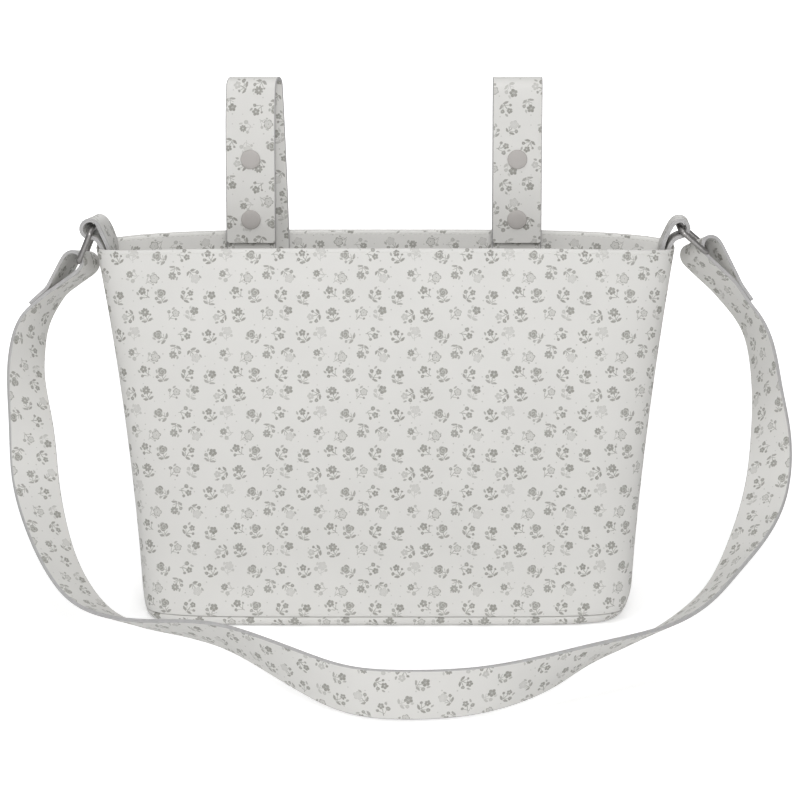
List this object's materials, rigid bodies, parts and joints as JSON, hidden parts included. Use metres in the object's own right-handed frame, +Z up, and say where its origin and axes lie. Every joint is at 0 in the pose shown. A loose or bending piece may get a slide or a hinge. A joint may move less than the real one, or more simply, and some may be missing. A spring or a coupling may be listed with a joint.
{
  "type": "diaper bag",
  "caption": "Soft open-top baby tote in printed leatherette with press-stud pushchair straps and a long shoulder strap on side rings.",
  "frame": {"origin": "centre of the base, on the surface that the bag stands on", "axes": "+X along the rim, to the right when the bag's front is faced; the front faces -Y; +Z up"},
  "size_m": [0.502, 0.3049, 0.346],
  "materials": {
    "leatherette": "off-white printed leatherette, satin, small grey flowers",
    "facing": "the same printed leatherette, sewn inside the rim",
    "lining": "plain woven lining",
    "board": "stiffener board",
    "ring_metal": "nickel-plated, satin",
    "snap_metal": "nickel-plated",
    "snap_cap": "matte warm grey enamel",
    "thread": "polyester topstitching thread",
    "edge_paint": "grey painted strap edge"
  },
  "bodies": {
    "bag": {"front_panel": "leatherette", "back_panel": "leatherette", "base_panel": "leatherette", "front_facing": "facing", "back_facing": "facing", "lining_front": "lining", "lining_back": "lining", "lining_base": "lining", "base_board": "board", "inner_pocket": "lining", "magnet_stud": "snap_metal", "magnet_socket": "snap_metal", "tab_left": "leatherette", "tab_right": "leatherette", "pram_strap_left": "leatherette", "pram_strap_right": "leatherette", "pram_stub_left": "leatherette", "pram_stub_right": "leatherette", "snap_studs_left": "snap_metal", "snap_studs_right": "snap_metal", "snap_posts_left": "snap_metal", "snap_posts_right": "snap_metal", "strap_loop_left": "leatherette", "strap_loop_right": "leatherette"},
    "ring_left": {"ring_left": "ring_metal"},
    "ring_right": {"ring_right": "ring_metal"},
    "flap_left": {"pram_flap_left": "leatherette", "snap_caps_left": "snap_cap", "snap_sockets_left": "snap_metal"},
    "flap_right": {"pram_flap_right": "leatherette", "snap_caps_right": "snap_cap", "snap_sockets_right": "snap_metal"},
    "strap": {"shoulder_strap": "leatherette"}
  },
  "joints": [
    {"name": "ring_left_swing", "type": "hinge", "parent": "bag", "child": "ring_left", "pos_m": [-0.188, 0, 0.252], "axis": [0, 1, 0], "range_deg": [-10, 10]},
    {"name": "ring_right_swing", "type": "hinge", "parent": "bag", "child": "ring_right", "pos_m": [0.188, 0, 0.252], "axis": [0, 1, 0], "range_deg": [-10, 10]},
    {"name": "flap_left_open", "type": "hinge", "parent": "bag", "child": "flap_left", "pos_m": [-0.088, 0.01495, 0.3398], "axis": [-1, 0, 0], "range_deg": [0, 110]},
    {"name": "flap_right_open", "type": "hinge", "parent": "bag", "child": "flap_right", "pos_m": [0.084, 0.01495, 0.3398], "axis": [-1, 0, 0], "range_deg": [0, 110]},
    {"name": "strap_swing", "type": "hinge", "parent": "bag", "child": "strap", "pos_m": [0, 0, 0.235], "axis": [-1, 0, 0], "range_deg": [0, 140]}
  ]
}
